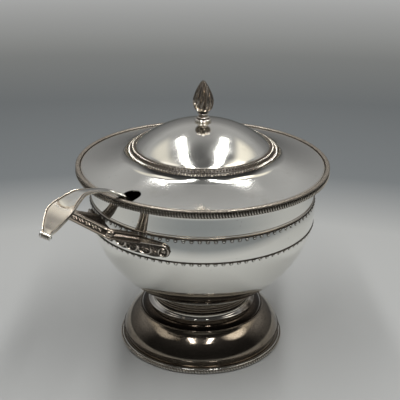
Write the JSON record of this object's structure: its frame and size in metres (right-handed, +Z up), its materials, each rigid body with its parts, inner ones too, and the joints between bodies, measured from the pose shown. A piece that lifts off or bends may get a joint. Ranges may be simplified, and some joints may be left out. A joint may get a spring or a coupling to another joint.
{
  "type": "soup tureen",
  "caption": "Footed round soup tureen in silver plate, with a lift-off domed lid, a bud finial, two fixed handles and a ladle that leaves through a notch in the lid.",
  "frame": {"origin": "centre of the foot's resting ring, on the surface the tureen stands on", "axes": "+Z up along the bowl's axis; the two handles lie on the X axis, and the ladle leaves near -X"},
  "size_m": [0.3881, 0.2698, 0.2977],
  "materials": {
    "plate": "polished silver plate with light tarnish",
    "lid_plate": "satin silver plate with fine spinning marks",
    "foot_plate": "polished silver plate, brown tarnish in patches",
    "cast_silver": "cast and chased silver plate, dark tarnish in the recesses",
    "ladle_plate": "polished silver plate, lightly scratched",
    "fastener": "turned brass, dull"
  },
  "bodies": {
    "tureen": {"bowl_shell": "plate", "rim_border": "cast_silver", "upper_band": "cast_silver", "lower_band": "cast_silver", "handle_right": "cast_silver", "handle_left": "cast_silver", "foot_neck": "plate", "foot_shell": "foot_plate", "foot_border": "cast_silver"},
    "lid": {"lid_shell": "lid_plate", "lid_bezel": "lid_plate", "lid_border": "cast_silver", "finial_base": "cast_silver", "finial_bud": "cast_silver", "finial_stud": "fastener", "finial_washer": "fastener", "finial_nut": "fastener"},
    "ladle": {"ladle_bowl": "ladle_plate", "ladle_handle": "ladle_plate"}
  },
  "joints": [
    {"name": "lid_lift", "type": "slide", "parent": "tureen", "child": "lid", "axis": [0, 0, 1], "range_m": [0, 0.15]},
    {"name": "ladle_draw", "type": "slide", "parent": "tureen", "child": "ladle", "axis": [-0.4918, -0.0713, 0.8678], "range_m": [0, 0.085]}
  ]
}
